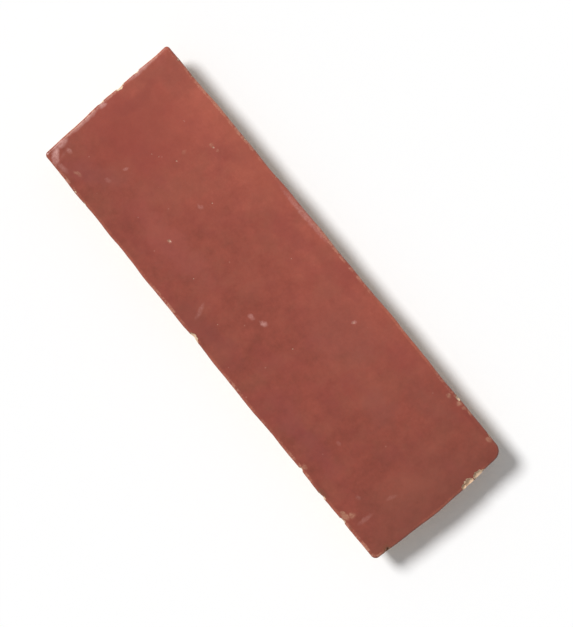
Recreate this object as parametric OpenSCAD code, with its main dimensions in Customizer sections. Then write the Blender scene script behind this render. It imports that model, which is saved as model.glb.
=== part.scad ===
// Zellige tile: one hand-moulded, hand-cut terracotta tile of the long 5 x 15 format,
// glazed on its face and rolled over its arris. It lies on its raw clay back with the
// glaze up. +X runs along the tile from the head to the foot, +Y across it, +Z out of
// the glaze, and the origin is the middle of its outline on the back.

/* [Overall size] */
// Length of the glazed face, measured along the near edge
tile_l = 152.7; // [110:0.1:200]
// Width of the glazed face at the head
tile_w = 48; // [36:0.1:70]
// Thickness from the back to the highest point of the glaze
tile_t = 12; // [9:0.1:18]

/* [Hand-cut outline] */
// How far the head runs out of square, its far corner standing proud
head_lean = 2; // [-3:0.1:3]
// How far the foot runs out of square, its near corner standing proud
foot_lean = 0.5; // [-3:0.1:3]
// How much wider the foot is than the head
foot_flare = 1.1; // [-2:0.1:3]
// Bow of the near long edge, outwards at its middle
near_bow = 0.2; // [-0.6:0.05:1]
// Bow of the foot, outwards at its middle
foot_bow = 0.9; // [-0.6:0.05:1.6]
// Bow of the far long edge, outwards at its middle
far_bow = 0.3; // [-0.6:0.05:1]
// Bow of the head, outwards at its middle
head_bow = 0.2; // [-0.6:0.05:1]
// Wander of the cut line to each side of its bow
wander = 0.16; // [0:0.02:0.4]
// Length of the cut line's wander, from one side and back
wander_l = 41; // [24:1:80]

/* [Corners] */
// Radius of the corner between head and near edge
head_near_r = 1.3; // [0.8:0.1:5]
// Radius of the corner between near edge and foot
foot_near_r = 1.8; // [0.8:0.1:5]
// Radius of the corner between foot and far edge, knocked off in handling
foot_far_r = 3.5; // [0.8:0.1:5]
// Radius of the corner between far edge and head
head_far_r = 1.1; // [0.8:0.1:5]

/* [Chiselled flanks] */
// Radius of the rolled glaze arris round the face
arris_r = 0.8; // [0.3:0.05:1.2]
// Height of the upright land, from the highest point of the face down
land_h = 3.6; // [2.8:0.1:4.5]
// How far the back is undercut behind the land, all round
undercut = 2.4; // [0.8:0.1:3.5]
// Length of flank that one chisel stroke takes off
stroke_w = 13; // [9:0.5:24]
// Depth of a chisel stroke's hollow in the undercut flank
stroke_depth = 0.7; // [0:0.05:1]
// How much higher the middle of a stroke breaks into the land than its ends
stroke_rise = 0.9; // [0:0.05:1.2]
// Length of flank next to a corner over which the strokes' hollows fade out
stroke_fade = 4; // [2:0.5:8]
// Height of the broken arris round the back
heel_h = 1; // [0.5:0.1:1.5]
// Width of the broken arris round the back
heel_w = 0.7; // [0.2:0.1:1.2]

/* [Glazed face] */
// Height of the long swells, from hollow to crest
swell_h = 0.42; // [0:0.02:0.8]
// Length of the longest swell, from crest to crest
swell_l = 88; // [50:1:140]
// Height of the short ripples left by the smoothing board, from hollow to crest
ripple_h = 0.16; // [0:0.02:0.3]
// Length of the longest ripple, from crest to crest
ripple_l = 34; // [20:1:48]
// Fall of the face towards its rim, where the wet clay was cut
pillow_h = 0.4; // [0:0.02:0.7]
// Width of the band next to the rim over which the face falls
pillow_w = 9; // [4:0.5:14]

/* [Mesh] */
// Spacing of the surface points along the edges and over the face
cell = 2.6; // [2.2:0.1:4]

/* [Hidden] */

NEAR = 0;
FOOT = 1;
FAR = 2;
HEAD = 3;
TURN = 360;

// The four cut lines meet in these corners, counter-clockwise from head and near edge.
SHARP = [
    [0, 0],
    [tile_l, -foot_flare / 2],
    [tile_l - foot_lean, tile_w + foot_flare / 2],
    [-head_lean, tile_w]
];
CORNER_R = [head_near_r, foot_near_r, foot_far_r, head_far_r];
LEAST_R = 0.8;
BOW = [near_bow, foot_bow, far_bow, head_bow];

// Steps in half a corner, along each edge between its corners, and round the tile.
ARC_N = 3;
LONG_N = round(tile_l / cell);
WIDE_N = round(tile_w / cell);
EDGE_N = [LONG_N, WIDE_N, LONG_N, WIDE_N];
NX = LONG_N + 2 * ARC_N;
NY = WIDE_N + 2 * ARC_N;
RING_N = 2 * (NX + NY);

// Waves are rows of [share of the height, length as a share of the longest, heading, phase].
WANDERS = [[0.6, 1, 0, 0], [0.4, 0.4, 0, 150]];
SWELLS = [[0.5, 1, 20, 25], [0.3, 0.66, -50, 140], [0.2, 0.87, 90, 70]];
RIPPLES = [[0.4, 1, -28, 60], [0.35, 0.79, 62, 200], [0.25, 0.68, 12, 310]];

// Chips knocked out of the glazed arris are rows of
// [edge, place along it from 0 to 1, length, bite into the face, drop down the flank].
CHIPS = [
    [NEAR, 0.125, 2.4, 0.6, 1.1],
    [NEAR, 0.450, 3.8, 1.2, 1.5],
    [NEAR, 0.775, 2.6, 0.7, 1.2],
    [NEAR, 0.845, 4.2, 0.8, 1.7],
    [NEAR, 0.903, 3.2, 0.8, 1.5],
    [FOOT, 0.098, 2.8, 1.0, 1.3],
    [FOOT, 0.725, 3.8, 1.9, 1.3],
    [FOOT, 0.802, 3.6, 1.8, 1.2],
    [FAR, 0.045, 2.4, 0.6, 1.1],
    [FAR, 0.135, 3.0, 0.7, 1.3],
    [HEAD, 0.250, 2.6, 0.6, 1.2],
    [HEAD, 0.392, 3.4, 1.0, 1.5],
    [HEAD, 0.530, 2.8, 0.7, 1.3]
];

function unit(v) = v / norm(v);
function left_of(v) = [-v.y, v.x];
function mix(a, b, t) = a + (b - a) * t;
function clamped(x) = min(1, max(0, x));
// A hump over t from 0 to 1, which is 0 at both ends and 1 half way.
function hump(t) = 4 * t * (1 - t);
function before(e) = (e + 3) % 4;
function after(e) = (e + 1) % 4;

// Sum of a table's waves at p, from -1 to 1, where the longest wave is l long.
function waves(table, p, l) =
    [for (w = table) w[0]]
    * [for (w = table) sin(TURN * (p * [cos(w[2]), sin(w[2])]) / (l * w[1]) + w[3])];

// An edge's length and direction, and the way from it into the tile.
function chord(e) = norm(SHARP[after(e)] - SHARP[e]);
function along(e) = unit(SHARP[after(e)] - SHARP[e]);
function inward(e) = left_of(along(e));

// The point a distance q in from both cut lines of corner i.
function inset_corner(i, q) =
    let (a = inward(before(i)), b = inward(i))
    SHARP[i] + q * (a + b) / (1 + a * b);

// A point on corner i's arc at inset q: s is -1 at its start, 0 half way and 1 at its end.
function arc_point(i, s, q) =
    let (
        r = max(CORNER_R[i] - q, LEAST_R),
        a = inward(before(i)),
        b = inward(i),
        angle = atan2(-a.y - b.y, -a.x - b.x) + s * acos(a * b) / 2
    )
    inset_corner(i, q + r) + r * [cos(angle), sin(angle)];

// How far the cut line of edge e stands out of its chord, a share t of the way along. Each
// edge takes its wander from another stretch of the waves, and it fades at the corners.
WANDER_SHIFT = 23;
WANDER_GROWTH = 2.5;
function stand_out(e, t) =
    let (run = [t * chord(e) + e * WANDER_SHIFT, 0], grown = min(1, WANDER_GROWTH * hump(t)))
    BOW[e] * hump(t) + wander * grown * waves(WANDERS, run, wander_l);

// Edge e's points at inset q, from the middle of its first corner up to its last.
function edge_points(e, q) =
    let (n = EDGE_N[e], a = arc_point(e, 1, q), b = arc_point(after(e), -1, q))
    [
        for (k = [0 : ARC_N]) arc_point(e, k / ARC_N, q),
        for (k = [1 : n - 1]) mix(a, b, k / n) - inward(e) * stand_out(e, k / n),
        for (k = [0 : ARC_N - 1]) arc_point(after(e), k / ARC_N - 1, q)
    ];

function ring(q) = [for (e = [NEAR : HEAD]) each edge_points(e, q)];

// For each point of a ring, 0 round the corners and up to 1 between them.
CALM = [
    for (e = [NEAR : HEAD], k = [-ARC_N : EDGE_N[e] + ARC_N - 1])
        let (steps = min(k, EDGE_N[e] - k))
        clamped(steps / EDGE_N[e] * chord(e) / stroke_fade)
];

RIM = ring(0);
LOW = [min([for (p = RIM) p.x]), min([for (p = RIM) p.y])];
HIGH = [max([for (p = RIM) p.x]), max([for (p = RIM) p.y])];
MIDDLE = (LOW + HIGH) / 2;

// The face is a grid stretched between its four rim curves, blended across from each.
FACE_RIM = ring(arris_r);
function near_at(i) = FACE_RIM[i];
function foot_at(j) = FACE_RIM[NX + j];
function far_at(i) = FACE_RIM[2 * NX + NY - i];
function head_at(j) = FACE_RIM[(RING_N - j) % RING_N];
function face_plan(i, j) =
    let (u = i / NX, v = j / NY)
    mix(near_at(i), far_at(i), v) + mix(head_at(j), foot_at(j), u)
    - mix(mix(near_at(0), near_at(NX), u), mix(far_at(0), far_at(NX), u), v);

// Distance of p in from the nearest cut line.
function depth_in(p) =
    min([
        for (e = [NEAR : HEAD])
            let (from = p - SHARP[e])
            from * inward(e) + stand_out(e, clamped(from * along(e) / chord(e)))
    ]);

// Relief of the glaze: long swells, the board's ripples and the fall towards the rim.
function relief(p) =
    swell_h / 2 * waves(SWELLS, p, swell_l)
    + ripple_h / 2 * waves(RIPPLES, p, ripple_l)
    - pillow_h * pow(1 - clamped(depth_in(p) / pillow_w), 2);
CREST = max([for (i = [0 : NX], j = [0 : NY]) relief(face_plan(i, j))]);
function face_z(p) = tile_t + relief(p) - CREST;

// Hollow of the chisel strokes where the flank at p looks out along n, from 0 on the
// ridge between two strokes to 1 in the middle of one. Their lengths vary a little.
STROKE_VARIES = 0.22;
STROKE_VARIES_L = 33;
STROKE_START = 0.37;
function stroke(p, n) =
    let (
        run = p * left_of(n),
        turns = run / stroke_w + STROKE_VARIES * sin(TURN * run / STROKE_VARIES_L)
            + STROKE_START * n.x,
        part = turns - floor(turns)
    )
    hump(part);

function outward(points, k) =
    -unit(left_of(points[(k + 1) % RING_N] - points[(k + RING_N - 1) % RING_N]));

// The arris is a quarter round in these steps, in degrees.
ARRIS_STEPS = [30, 60, 90];
function arris_rows() = [
    for (angle = ARRIS_STEPS)
        let (points = ring(arris_r * (1 - sin(angle))), fall = arris_r * (1 - cos(angle)))
        [for (k = [0 : RING_N - 1]) [points[k].x, points[k].y, face_z(FACE_RIM[k]) - fall]]
];

// Rows round the flank are [inset, height, share of a stroke's depth, share of its rise].
// SLOPE takes them from the land down to the heel as shares of the undercut and of that
// height. The last row runs on below the back, which is then cut flat across it.
LAND_Z = tile_t - land_h;
SLOPE = [[0.04, 0, 0, 1], [0.42, 0.35, 0.7, 0.7], [0.78, 0.7, 1, 0.3], [1, 1, 0.8, 0]];
HEEL_TOP = [undercut, heel_h, 0.8, 0];
HEEL_FOOT = [undercut + heel_w, 0, 0.6, 0];
PAST_BACK = 0.6;
FLANKS = [
    for (s = SLOPE) [s[0] * undercut, mix(LAND_Z, heel_h, s[1]), s[2], s[3]],
    mix(HEEL_TOP, HEEL_FOOT, 1 + PAST_BACK / heel_h)
];

function flank_point(row, p, n, calm) =
    let (s = calm * stroke(p, n), at = p - n * stroke_depth * row[2] * s)
    [at.x, at.y, row[1] + stroke_rise * row[3] * s];
function flank_rows() = [
    for (row = FLANKS)
        let (points = ring(row[0]))
        [
            for (k = [0 : RING_N - 1])
                flank_point(row, points[k], outward(points, k), CALM[k])
        ]
];

// The face's points lie at the head of the list, and those on its rim are the first row.
FACE_N = (NX + 1) * (NY + 1);
ROWS_N = len(ARRIS_STEPS) + len(FLANKS);
BACK_MIDDLE = FACE_N + ROWS_N * RING_N;
function face_index(i, j) = i * (NY + 1) + j;
RIM_INDEX = [
    for (i = [0 : NX - 1]) face_index(i, 0),
    for (j = [0 : NY - 1]) face_index(NX, j),
    for (i = [NX : -1 : 1]) face_index(i, NY),
    for (j = [NY : -1 : 1]) face_index(0, j)
];
function row_index(r, k) =
    r == 0 ? RIM_INDEX[k % RING_N] : FACE_N + (r - 1) * RING_N + k % RING_N;

// Two triangles over the four corners a, b, c and d of a cell, clockwise from outside.
function two(a, b, c, d) = [[a, b, c], [a, c, d]];

// The fired body before its back is flattened: face, arris, land and undercut flanks.
module blank() {
    points = [
        for (i = [0 : NX], j = [0 : NY])
            let (p = face_plan(i, j))
            [p.x, p.y, face_z(p)],
        for (row = arris_rows()) each row,
        for (row = flank_rows()) each row,
        [MIDDLE.x, MIDDLE.y, -PAST_BACK]
    ];
    faces = [
        for (i = [0 : NX - 1], j = [0 : NY - 1])
            each two(
                face_index(i, j),
                face_index(i, j + 1),
                face_index(i + 1, j + 1),
                face_index(i + 1, j)
            ),
        for (r = [0 : ROWS_N - 1], k = [0 : RING_N - 1])
            each two(
                row_index(r, k),
                row_index(r, k + 1),
                row_index(r + 1, k + 1),
                row_index(r + 1, k)
            ),
        for (k = [0 : RING_N - 1])
            [row_index(ROWS_N, k), row_index(ROWS_N, k + 1), BACK_MIDDLE]
    ];
    polyhedron(points = points, faces = faces, convexity = 6);
}

// A scar is part of a sphere. It is `length` long at the arris, where the face meets the
// flank, and it reaches `bite` into the face and `drop` down the flank from there.
SCAR_FN = 48;
module scar(length, bite, drop) {
    half = length / 2;
    out = (half * half - bite * bite) / (2 * bite);
    up = (half * half - drop * drop) / (2 * drop);
    translate([0, -out, up])
        sphere(r = norm([half, out, up]), $fn = SCAR_FN);
}

module chips() {
    for (chip = CHIPS) {
        e = chip[0];
        way = along(e);
        p = SHARP[e] + way * chord(e) * chip[1] - inward(e) * stand_out(e, chip[1]);
        translate([p.x, p.y, face_z(p)])
            rotate([0, 0, atan2(way.y, way.x)])
                scar(chip[2], chip[3], chip[4]);
    }
}

// All that lies below the flat back.
module below_back() {
    span = HIGH - LOW;
    translate([LOW.x, LOW.y, -2 * PAST_BACK])
        cube([span.x, span.y, 2 * PAST_BACK]);
}

module zellige_tile() {
    color([0.56, 0.3, 0.25])
        translate([-MIDDLE.x, -MIDDLE.y, 0])
            difference() {
                blank();
                below_back();
                chips();
            }
}

zellige_tile();
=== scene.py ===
"""The looks of one zellige tile: hand-cut terracotta with a brick-red glazed face.

Lengths are in millimetres until a mesh is made from them, in the row frame: +X runs from
the tile's head to its foot, +Y across it and +Z out of the glaze. The tile's outline and
section repeat the CAD model's own driving sizes and are fitted to its box, and the fired
clay, the glaze and its chips are modelled over them.
"""

import math
import random
from collections import namedtuple

import bpy
import numpy as np
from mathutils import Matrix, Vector, noise
from mathutils.geometry import delaunay_2d_cdt


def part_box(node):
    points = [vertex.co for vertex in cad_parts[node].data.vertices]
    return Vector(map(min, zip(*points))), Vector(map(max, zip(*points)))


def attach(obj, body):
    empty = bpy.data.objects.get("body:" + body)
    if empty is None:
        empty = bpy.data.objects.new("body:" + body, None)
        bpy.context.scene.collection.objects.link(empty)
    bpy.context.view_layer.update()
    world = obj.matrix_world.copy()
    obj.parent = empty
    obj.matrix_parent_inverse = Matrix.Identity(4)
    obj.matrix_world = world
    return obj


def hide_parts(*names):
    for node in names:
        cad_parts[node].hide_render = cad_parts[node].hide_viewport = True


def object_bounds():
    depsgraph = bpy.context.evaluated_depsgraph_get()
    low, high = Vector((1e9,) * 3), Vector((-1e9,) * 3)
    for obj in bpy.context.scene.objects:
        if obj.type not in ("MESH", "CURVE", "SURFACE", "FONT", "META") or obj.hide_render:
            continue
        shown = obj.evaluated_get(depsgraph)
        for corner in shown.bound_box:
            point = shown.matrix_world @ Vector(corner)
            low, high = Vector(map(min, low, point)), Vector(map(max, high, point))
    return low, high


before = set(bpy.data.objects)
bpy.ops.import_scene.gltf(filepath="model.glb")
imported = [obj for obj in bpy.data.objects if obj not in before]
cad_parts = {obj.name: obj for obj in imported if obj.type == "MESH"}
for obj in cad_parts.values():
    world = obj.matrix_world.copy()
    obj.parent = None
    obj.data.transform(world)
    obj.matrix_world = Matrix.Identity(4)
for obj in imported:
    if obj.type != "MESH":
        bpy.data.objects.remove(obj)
cad_low, cad_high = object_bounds()

# Seeds, which give the same tile at each run. Blender seeds its noise vectors by the clock
# unless it is told otherwise.
NOISE_SEED, RUNS_SEED, PITS_SEED, SPALLS_SEED, NIBBLES_SEED, POINTS_SEED = 3, 41, 7, 23, 19, 5
noise.seed_set(NOISE_SEED)

TILE = "zellige_tile"
MM = 0.001
BOX_LOW, BOX_HIGH = (np.array(corner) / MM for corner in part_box(TILE))
BOX = BOX_HIGH - BOX_LOW

# ---------------------------------------------------------------- the tile's own sizes
# Outline: the face's size, how far its head and foot lean and its foot flares, how far each
# edge bows, from the near one round to the head, and how the cut lines wander.
FACE_L, FACE_W = 152.7, 48.0
HEAD_LEAN = 2.0
FOOT_LEAN = 0.5
FOOT_FLARE = 1.1
BOW = [0.2, 0.9, 0.3, 0.2]
WANDER, WANDER_L = 0.16, 41.0
WANDER_SHIFT, WANDER_GROWTH = 23.0, 2.5

# Corner radii of the face, from the near head corner round, and the least one further in.
CORNER_R = [1.3, 1.8, 3.5, 1.1]
LEAST_R = 0.8

# Section: the rolled arris, the upright land under it, the undercut and the broken heel.
ARRIS_R = 0.8
LAND_H = 3.6
UNDERCUT = 2.4
HEEL_H = 1.0
HEEL_W = 0.7

# Chisel strokes in the flank. They fade before a corner, and their width varies.
STROKE_W = 13.0
STROKE_DEPTH = 0.7
STROKE_RISE = 0.9
STROKE_FADE = 4.0
STROKE_VARIES, STROKE_VARIES_L, STROKE_START = 0.22, 33.0, 0.37

# Relief of the face: its swells, its ripples, the fall towards its rim, and the room that it
# leaves under the CAD model's crest for the glaze's dents.
SWELL_H, SWELL_L = 0.42, 88.0
RIPPLE_H, RIPPLE_L = 0.16, 34.0
PILLOW_H, PILLOW_W = 0.4, 9.0
CREST_ROOM = 0.06

# The edges, counter-clockwise, and where their cut lines cross before the corners are rounded.
NEAR, FOOT, FAR, HEAD = range(4)
SHARP = np.array([
    (0, 0),
    (FACE_L, -FOOT_FLARE / 2),
    (FACE_L - FOOT_LEAN, FACE_W + FOOT_FLARE / 2),
    (-HEAD_LEAN, FACE_W),
])

# Rows round the flank, from the foot of the land down to the heel: share of the undercut,
# share of the way down, share of a stroke's depth, share of its rise, and the number of rows of
# points down to the next.
FLANK = [
    (0.04, 0, 0, 1, 7),
    (0.42, 0.35, 0.7, 0.7, 7),
    (0.78, 0.7, 1, 0.3, 6),
    (1, 1, 0.8, 0, 4),
]
# Rows down the land above them, and the share of a stroke's depth that is left at the back.
LAND_ROWS = 9
HEEL_STROKE = 0.6

# Waves: share of the height, length as a share of the longest, heading and phase.
WANDERS = [(0.6, 1, 0, 0), (0.4, 0.4, 0, 150)]
SWELLS = [(0.5, 1, 20, 25), (0.3, 0.66, -50, 140), (0.2, 0.87, 90, 70)]
RIPPLES = [(0.4, 1, -28, 60), (0.35, 0.79, 62, 200), (0.25, 0.68, 12, 310)]

# Chips: edge, place along it, length, bite into the face, drop down the flank.
CHIPS = [
    (NEAR, 0.125, 2.4, 0.6, 1.1),
    (NEAR, 0.450, 3.8, 1.2, 1.5),
    (NEAR, 0.775, 2.6, 0.7, 1.2),
    (NEAR, 0.845, 4.2, 0.8, 1.7),
    (NEAR, 0.903, 3.2, 0.8, 1.5),
    (FOOT, 0.098, 2.8, 1.0, 1.3),
    (FOOT, 0.725, 3.8, 1.9, 1.3),
    (FOOT, 0.802, 3.6, 1.8, 1.2),
    (FAR, 0.045, 2.4, 0.6, 1.1),
    (FAR, 0.135, 3.0, 0.7, 1.3),
    (HEAD, 0.250, 2.6, 0.6, 1.2),
    (HEAD, 0.392, 3.4, 1.0, 1.5),
    (HEAD, 0.530, 2.8, 0.7, 1.3),
]

# A smaller break beside each chip: how far from its middle, its length, bite and drop, all as
# shares of the chip's own.
SPALL_AWAY, SPALL_L = (0.3, 0.5), 0.55
SPALL_BITE, SPALL_DROP = (0.4, 0.8), (0.5, 1.0)

# Knocks all round the arris that are too small to be chips: their length, and their bite and
# drop as shares of it.
NIBBLES_N = 64
NIBBLE_L = (0.5, 1.6)
NIBBLE_BITE, NIBBLE_DROP = (0.16, 0.32), (0.2, 0.42)

# How a break is bent and roughened: the size and reach of each bend, and the height and size
# of its grain and of its shells.
BREAK_BENDS = [(1.7, 0.45), (0.6, 0.16)]
BREAK_GRAIN_H, BREAK_GRAIN_L = 0.07, 0.8
BREAK_SHELL_H, BREAK_SHELL_L = 0.17, 1.3

# Shells in the chiselled clay: size, seed, depth and share in how hollow it is. The clay is
# rough from BROKEN_FROM below the face, and wholly from BROKEN_BY.
SHELLS = [(7.0, 3.1, 0.75, 0.6), (2.6, 9.4, 0.3, 0.4)]
BROKEN_FROM, BROKEN_BY = 2.4, 4.6

# The glaze on the flank: its thickness, the bead at its end, the room that the clay leaves it
# and how far below the face it ends.
GLAZE_T = 0.2
GLAZE_BEAD = 0.06
GLAZE_ROOM = 0.24
GLAZE_END = 1.7

# Runs of the glaze down the flank: half their width, and how far they reach past its end.
RUNS_N = 22
RUN_HALF_W = (0.8, 2.0)
RUN_LEAST, RUN_LONGEST = 0.3, 3.0

# How far the back is hollow on the whole, and unevenness as smooth noise: height, size, octaves
# and seed.
BACK_HOLLOW = 0.12
BACK_HOLLOWS = [(0.1, 16, 3, 8.0), (0.07, 3.5, 3, 9.0)]
END_WAVERS = [(0.6, 9, 2, 1.0), (0.25, 2.2, 3, 2.0)]
DENTS = [(0.05, 13, 2, 3.0), (0.022, 4.5, 2, 4.0)]

# Pits in the glaze: those that show, as x and y from the near head corner and radius, and
# where the small ones may lie. A pit's depth is a share of its radius.
PITS = [(42.7, 12.3, 0.42), (29.7, 39.4, 0.3), (26.0, 28.6, 0.22), (95.1, 38.6, 0.26)]
SMALL_PITS_N = 9
SMALL_PITS_X, SMALL_PITS_Y = (12, FACE_L - 6), (5, FACE_W - 5)
SMALL_PITS_R = (0.1, 0.2)
PIT_DEPTH = 0.55

# Fine wrinkles of the glaze round the near head corner, which catch the light there. They are
# at their full height in the core.
WRINKLE_H, WRINKLE_L, WRINKLE_REACH, WRINKLE_CORE = 0.05, 2.4, 10.0, 2.5

# ---------------------------------------------------------------- the mesh's fineness
# Spacing of the outline's points, closer along a chip and a margin past its ends.
SPACING = 0.3
CHIP_SPACING, CHIP_MARGIN = 0.17, 0.5
EDGE_SAMPLES = 3001
ARC_N = 8

# Rings of points over the arris and in the border of the face next to it.
ARRIS_N = 6
BORDER, BORDER_N = 2.4, 8

# Points further in: how far past the rings each band starts, and its spacing. They are moved at
# random by up to a share of it.
FACE_BANDS = [(0.45, 0.6), (3.0, 1.2)]
BACK_BANDS = [(1.0, 1.25)]
JITTER = 0.3
WRINKLE_SPACING, WRINKLE_JITTER = 0.34, 0.2

# Rings of points round a pit: share of its radius and number of points. No others lie within
# PIT_CLEAR times its radius and PIT_GAP.
PIT_RINGS = [(0.4, 6), (0.75, 9), (1.05, 12), (1.5, 14)]
PIT_CLEAR, PIT_GAP = 1.9, 0.1

# How many times the ring round the back is evened.
EVEN_N = 24

# Mask values for what lies wholly in or wholly out, and for clay that is neither hollow nor proud.
WHOLLY_IN, WHOLLY_OUT, LEVEL = 9.0, -9.0, 0.4


# ---------------------------------------------------------------- outline and section
def unit(v):
    return v / np.linalg.norm(v, axis=-1, keepdims=True)


def left_of(v):
    return np.stack([-v[..., 1], v[..., 0]], -1)


def ramp(x, low, high):
    """0 up to low, 1 from high on, and smooth between."""
    t = np.clip((x - low) / (high - low), 0, 1)
    return t * t * (3 - 2 * t)


def hump(t):
    """0 at t = 0 and 1, and 1 half way."""
    return 4 * t * (1 - t)


def flat(p):
    """Points of the plane as points in space."""
    return np.column_stack([p, np.zeros(len(p))])


def waves(table, p, longest):
    total = 0
    for share, length, heading, phase in table:
        way = np.array([math.cos(math.radians(heading)), math.sin(math.radians(heading))])
        total = total + share * np.sin(math.tau * (p @ way) / (longest * length) + math.radians(phase))
    return total


CHORD = np.roll(SHARP, -1, 0) - SHARP
LENGTH = np.linalg.norm(CHORD, axis=1)
ALONG = unit(CHORD)
INWARD = left_of(ALONG)


def inset_corner(i, q):
    a, b = INWARD[i - 1], INWARD[i]
    return SHARP[i] + q * (a + b) / (1 + a @ b)


def arc_points(i, s, q):
    """Corner i's arc at inset q, for shares s from -1 at its start to 1 at its end."""
    r = max(CORNER_R[i] - q, LEAST_R)
    a, b = INWARD[i - 1], INWARD[i]
    angle = math.atan2(*-(a + b)[::-1]) + s * math.acos(a @ b) / 2
    return inset_corner(i, q + r) + r * np.stack([np.cos(angle), np.sin(angle)], -1)


def stand_out(e, t):
    """How far edge e's cut line stands out of its chord, a share t of the way along."""
    grown = np.minimum(1, WANDER_GROWTH * hump(t))
    run = np.stack([t * LENGTH[e] + e * WANDER_SHIFT, 0 * t], -1)
    return BOW[e] * hump(t) + WANDER * grown * waves(WANDERS, run, WANDER_L)


def shares(e):
    """Places of edge e's points between its corners, from 0 to 1, closest at its chips."""
    t = np.linspace(0, 1, EDGE_SAMPLES)
    wanted = np.full(t.size, 1 / SPACING)
    for edge, place, length, _, _ in CHIPS:
        if edge == e:
            wanted[np.abs(t - place) * LENGTH[e] < length / 2 + CHIP_MARGIN] = 1 / CHIP_SPACING
    steps = (wanted[1:] + wanted[:-1]) / 2 * LENGTH[e] * t[1]
    count = np.concatenate([[0], np.cumsum(steps)])
    return np.interp(np.linspace(0, count[-1], round(count[-1]) + 1), count, t)[1:-1]


SHARES = [shares(e) for e in range(4)]
HALF = np.arange(ARC_N + 1) / ARC_N


def edge_points(e, q):
    after = (e + 1) % 4
    first, last = arc_points(e, HALF, q), arc_points(after, HALF[:-1] - 1, q)
    t = SHARES[e][:, None]
    straight = first[-1] + (last[0] - first[-1]) * t - INWARD[e] * stand_out(e, SHARES[e])[:, None]
    return np.concatenate([first, straight, last])


def ring(q):
    """The outline at inset q, counter-clockwise from the near head corner."""
    return np.concatenate([edge_points(e, q) for e in range(4)])


def calm(e):
    """0 round the corners and up to 1 along edge e, for what fades out before a corner."""
    away = np.minimum(SHARES[e], 1 - SHARES[e]) * LENGTH[e]
    return np.concatenate([0 * HALF, np.minimum(1, away / STROKE_FADE), 0 * HALF[:-1]])


CALM = np.concatenate([calm(e) for e in range(4)])
RIM = ring(0.0)
RING_N = len(RIM)


def outward(points):
    return -unit(left_of(np.roll(points, -1, 0) - np.roll(points, 1, 0)))


def depth_in(p):
    """Distance in from the nearest cut line."""
    found = []
    for e in range(4):
        start = p - SHARP[e]
        t = np.clip(start @ ALONG[e] / LENGTH[e], 0, 1)
        found.append(start @ INWARD[e] + stand_out(e, t))
    return np.min(found, 0)


def relief(p):
    fall = 1 - np.clip(depth_in(p) / PILLOW_W, 0, 1)
    swells = SWELL_H / 2 * waves(SWELLS, p, SWELL_L)
    ripples = RIPPLE_H / 2 * waves(RIPPLES, p, RIPPLE_L)
    return swells + ripples - PILLOW_H * fall**2


SAMPLES = np.stack(np.meshgrid(np.arange(1, FACE_L), np.arange(1, FACE_W)), -1).reshape(-1, 2)
CREST = relief(SAMPLES).max()


def face_z(p):
    return BOX[2] - CREST_ROOM + relief(p) - CREST


def stroke(p, n):
    """0 on the ridge between two chisel strokes and 1 in the middle of one."""
    run = np.sum(p * left_of(n), -1)
    varied = STROKE_VARIES * np.sin(math.tau * run / STROKE_VARIES_L)
    turns = run / STROKE_W + varied + STROKE_START * n[:, 0]
    return hump(turns - np.floor(turns))


# ---------------------------------------------------------------- relief of clay and glaze
def field(p, size, octaves=3, seed=0.0, rough=0.5):
    """Smooth noise, about -1 to 1, whose largest features are `size` long."""
    shift = Vector((17.3 * seed, 5.1 * seed, -8.7 * seed))
    return np.array([noise.fractal(Vector(x) / size + shift, rough, 2.0, octaves) for x in p])


def unevenness(p, table, level=0.0):
    """Smooth noise added to a level: the table gives height, size, octaves and seed."""
    for height, size, octaves, seed in table:
        level = level + height * field(p, size, octaves, seed)
    return level


def scallops(p, size, seed):
    """Shell-shaped hollows that meet in ridges, as clay breaks: 0 on a ridge, 1 in a hollow."""
    shift = Vector((seed, 2.3 * seed, -1.7 * seed))
    far = np.array([noise.voronoi(Vector(x) / size + shift)[0][0] for x in p])
    return 1 - np.clip(far / 0.8, 0, 1) ** 2


def warped(p, size, amount, seed):
    """The points moved by smooth noise, so that what is measured from them is irregular."""
    shift = Vector((seed, -seed, 0.5 * seed))
    return p + amount * np.array([noise.noise_vector(Vector(x) / size + shift) for x in p])


def glaze_reach():
    """How far down the flank the glaze has run, in mm below the face, round the rim."""
    rng = random.Random(RUNS_SEED)
    steps = np.linalg.norm(np.roll(RIM, -1, 0) - RIM, axis=1)
    total = steps.sum()
    run = np.cumsum(steps) - steps
    edge = unevenness(flat(RIM), END_WAVERS, GLAZE_END)
    reach = edge
    for _ in range(RUNS_N):
        place, wide, long = rng.uniform(0, total), rng.uniform(*RUN_HALF_W), rng.random() ** 2
        away = np.abs((run - place + total / 2) % total - total / 2) / wide
        reach = np.maximum(reach, edge + (RUN_LEAST + RUN_LONGEST * long) * np.exp(-(away**4)))
    reach = np.maximum(reach, ARRIS_R + 0.2)
    for e, t, length, _, drop in CHIPS:
        away = np.linalg.norm(RIM - rim_place(e, t)[:2], axis=1) / (length / 2)
        reach = np.minimum(reach, reach + (0.6 * drop - reach) * ramp(away, 1.0, 0.6))
    return reach


def pits():
    """All pits of the glaze: x, y and radius."""
    rng = random.Random(PITS_SEED)
    found = list(PITS)
    while len(found) < len(PITS) + SMALL_PITS_N:
        x, y, r = (rng.uniform(*limits) for limits in (SMALL_PITS_X, SMALL_PITS_Y, SMALL_PITS_R))
        if all(math.hypot(x - a, y - b) > 4 * (r + c) for a, b, c in found):
            found.append((x, y, r))
    return found


PIT_LIST = pits()


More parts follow.
